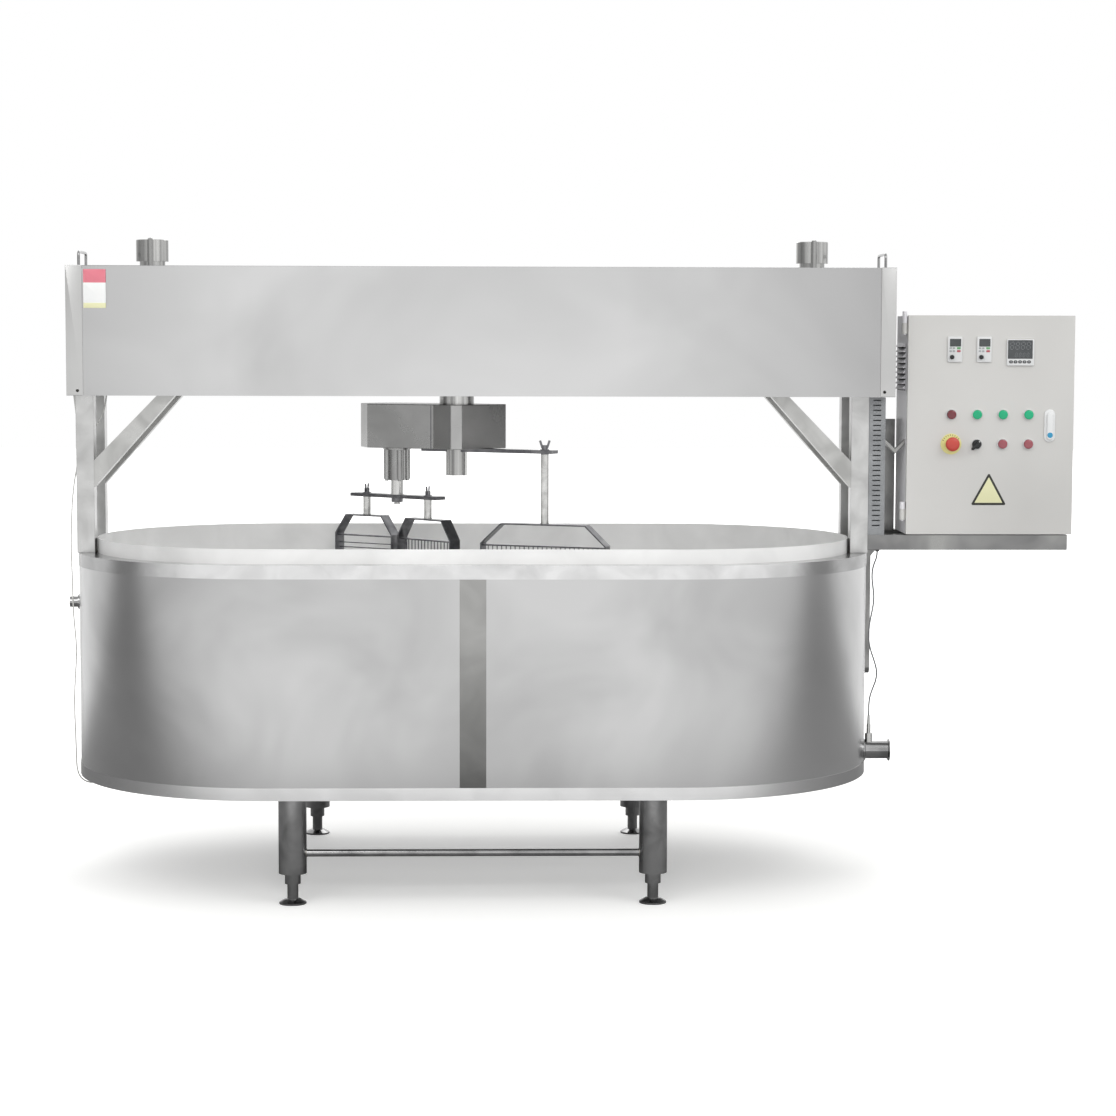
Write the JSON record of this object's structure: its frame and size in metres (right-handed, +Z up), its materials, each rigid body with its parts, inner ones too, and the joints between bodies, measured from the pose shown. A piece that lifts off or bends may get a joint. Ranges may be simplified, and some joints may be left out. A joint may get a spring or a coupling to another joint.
{
  "type": "jacketed milk vat with travelling stirrer",
  "caption": "Oval jacketed milk vat on legs, with an overhead beam carrying a travelling planetary stirrer with wire harps, and a control cabinet on a side shelf.",
  "frame": {"origin": "centre of the whole machine's box, on the floor under the feet", "axes": "+X along the vat towards the outlet and the cabinet, -Y towards the operator, +Z up"},
  "size_m": [2.8652, 1.1436, 1.8114],
  "materials": {
    "stainless_brushed": "304 stainless sheet, brushed",
    "stainless_polished": "304 stainless, turned or polished",
    "stainless_satin": "304 stainless tube and bar, satin",
    "insulation_foam": "rigid polyurethane foam",
    "cabinet_paint": "powder coated sheet, light grey",
    "duct_plastic": "grey slotted duct",
    "motor_paint": "grey-blue enamel",
    "chain_steel": "oiled carbon steel",
    "cable_pale": "pale PVC sheath",
    "cable_grey": "grey PVC sheath",
    "black_plastic": "moulded polyamide, black",
    "green_lens": "clear green lens",
    "red_lens": "clear red lens",
    "red_plastic": "moulded red plastic",
    "zinc_handle": "die-cast, pale lacquer"
  },
  "bodies": {
    "vat": {"inner_tub": "stainless_brushed", "heating_jacket": "stainless_satin", "insulation": "insulation_foam", "outer_jacket": "stainless_brushed", "shoulder_ring": "stainless_brushed", "base_pan": "stainless_brushed", "seam_strips": "stainless_brushed", "milk_outlet": "stainless_polished", "outlet_probe": "stainless_polished", "inlet_socket": "stainless_polished", "leg_frame": "stainless_polished", "posts": "stainless_satin", "braces_and_ties": "stainless_satin", "beam_frame": "stainless_satin", "beam_cover": "stainless_brushed", "lifting_handles": "stainless_polished", "sprocket_caps": "stainless_polished", "travel_motor": "motor_paint", "travel_chain": "chain_steel", "shelf_frame": "stainless_satin", "cable_duct": "duct_plastic", "cabinet_body": "cabinet_paint", "cabinet_internals": "black_plastic", "left_cable": "cable_pale", "right_cable": "cable_grey"},
    "carriage": {"carriage_plate": "stainless_satin", "agitator_motor": "motor_paint", "hub_sleeve": "stainless_polished", "fixed_sprocket": "chain_steel"},
    "wheelset_left": {"wheelset_left": "stainless_satin"},
    "wheelset_right": {"wheelset_right": "stainless_satin"},
    "drive_sprocket": {"drive_sprocket": "chain_steel"},
    "idler_sprocket": {"idler_sprocket": "chain_steel"},
    "turret": {"turret_housing": "stainless_brushed", "turret_floor": "stainless_polished", "turret_shaft": "stainless_polished", "head_chain": "chain_steel", "stir_arm": "stainless_satin", "large_harp": "stainless_satin"},
    "planet": {"planet_shaft": "stainless_polished", "planet_sprocket": "chain_steel", "cross_arm": "stainless_satin", "left_harp": "stainless_satin", "right_harp": "stainless_satin"},
    "door": {"cabinet_door": "cabinet_paint", "panel_fittings": "black_plastic"},
    "green_button_1": {"green_button_1": "green_lens"},
    "green_button_2": {"green_button_2": "green_lens"},
    "green_button_3": {"green_button_3": "green_lens"},
    "red_button_1": {"red_button_1": "red_lens"},
    "red_button_2": {"red_button_2": "red_lens"},
    "emergency_stop": {"emergency_stop": "red_plastic"},
    "selector_switch": {"selector_switch": "black_plastic"},
    "door_handle": {"door_handle": "zinc_handle"},
    "speed_knob_1": {"speed_knob_1": "black_plastic"},
    "speed_knob_2": {"speed_knob_2": "black_plastic"},
    "foot_front_left": {"foot_front_left": "stainless_polished"},
    "foot_front_right": {"foot_front_right": "stainless_polished"},
    "foot_rear_left": {"foot_rear_left": "stainless_polished"},
    "foot_rear_right": {"foot_rear_right": "stainless_polished"}
  },
  "joints": [
    {"name": "carriage_travel", "type": "slide", "parent": "vat", "child": "carriage", "axis": [1, 0, 0], "range_m": [-0.505, 0.605]},
    {"name": "wheelset_left_roll", "type": "hinge", "parent": "carriage", "child": "wheelset_left", "pos_m": [-0.44135, 0, 1.4481], "axis": [0, 1, 0], "range_deg": [-966, 1157]},
    {"name": "wheelset_right_roll", "type": "hinge", "parent": "carriage", "child": "wheelset_right", "pos_m": [-0.20135, 0, 1.4481], "axis": [0, 1, 0], "range_deg": [-966, 1157]},
    {"name": "drive_sprocket_spin", "type": "hinge", "parent": "vat", "child": "drive_sprocket", "pos_m": [0.69665, 0, 1.56], "axis": [0, 0, 1], "range_deg": [-323, 387]},
    {"name": "idler_sprocket_spin", "type": "hinge", "parent": "vat", "child": "idler_sprocket", "pos_m": [-1.18735, 0, 1.56], "axis": [0, 0, 1], "range_deg": [-323, 387]},
    {"name": "turret_spin", "type": "hinge", "parent": "carriage", "child": "turret", "pos_m": [-0.32135, 0, 1.275], "axis": [0, 0, 1], "continuous": true},
    {"name": "planet_spin", "type": "hinge", "parent": "turret", "child": "planet", "pos_m": [-0.49627, 0.09696, 1.15], "axis": [0, 0, 1], "continuous": true},
    {"name": "door_hinge", "type": "hinge", "parent": "vat", "child": "door", "pos_m": [0.94265, -0.148, 1.288], "axis": [0, 0, -1], "range_deg": [0, 100]},
    {"name": "door_handle_lift", "type": "hinge", "parent": "door", "child": "door_handle", "pos_m": [1.35515, -0.1664, 1.321], "axis": [-1, 0, 0], "range_deg": [0, 40]},
    {"name": "emergency_stop_push", "type": "slide", "parent": "door", "child": "emergency_stop", "axis": [0, 1, 0], "range_m": [0, 0.004]},
    {"name": "selector_turn", "type": "hinge", "parent": "door", "child": "selector_switch", "pos_m": [1.14925, -0.168, 1.235], "axis": [0, 1, 0], "range_deg": [-45, 45]},
    {"name": "green_button_1_push", "type": "slide", "parent": "door", "child": "green_button_1", "axis": [0, 1, 0], "range_m": [0, 0.0028], "stiffness_N_per_m": 400},
    {"name": "green_button_2_push", "type": "slide", "parent": "door", "child": "green_button_2", "axis": [0, 1, 0], "range_m": [0, 0.0028], "stiffness_N_per_m": 400},
    {"name": "green_button_3_push", "type": "slide", "parent": "door", "child": "green_button_3", "axis": [0, 1, 0], "range_m": [0, 0.0028], "stiffness_N_per_m": 400},
    {"name": "red_button_1_push", "type": "slide", "parent": "door", "child": "red_button_1", "axis": [0, 1, 0], "range_m": [0, 0.0028], "stiffness_N_per_m": 400},
    {"name": "red_button_2_push", "type": "slide", "parent": "door", "child": "red_button_2", "axis": [0, 1, 0], "range_m": [0, 0.0028], "stiffness_N_per_m": 400},
    {"name": "speed_knob_1_turn", "type": "hinge", "parent": "door", "child": "speed_knob_1", "pos_m": [1.07415, -0.17, 1.4798], "axis": [0, 1, 0], "range_deg": [-135, 135]},
    {"name": "speed_knob_2_turn", "type": "hinge", "parent": "door", "child": "speed_knob_2", "pos_m": [1.15715, -0.17, 1.4798], "axis": [0, 1, 0], "range_deg": [-135, 135]},
    {"name": "foot_front_left_level", "type": "slide", "parent": "vat", "child": "foot_front_left", "axis": [0, 0, 1], "range_m": [-0.02, 0.02]},
    {"name": "foot_front_right_level", "type": "slide", "parent": "vat", "child": "foot_front_right", "axis": [0, 0, 1], "range_m": [-0.02, 0.02]},
    {"name": "foot_rear_left_level", "type": "slide", "parent": "vat", "child": "foot_rear_left", "axis": [0, 0, 1], "range_m": [-0.02, 0.02]},
    {"name": "foot_rear_right_level", "type": "slide", "parent": "vat", "child": "foot_rear_right", "axis": [0, 0, 1], "range_m": [-0.02, 0.02]}
  ],
  "couplings": [
    {"joint": "wheelset_left_roll", "follows": "carriage_travel", "rad_per_m": 33.333},
    {"joint": "wheelset_right_roll", "follows": "carriage_travel", "rad_per_m": 33.333},
    {"joint": "drive_sprocket_spin", "follows": "carriage_travel", "rad_per_m": 11.111},
    {"joint": "idler_sprocket_spin", "follows": "carriage_travel", "rad_per_m": 11.111},
    {"joint": "planet_spin", "follows": "turret_spin", "ratio": -2}
  ]
}
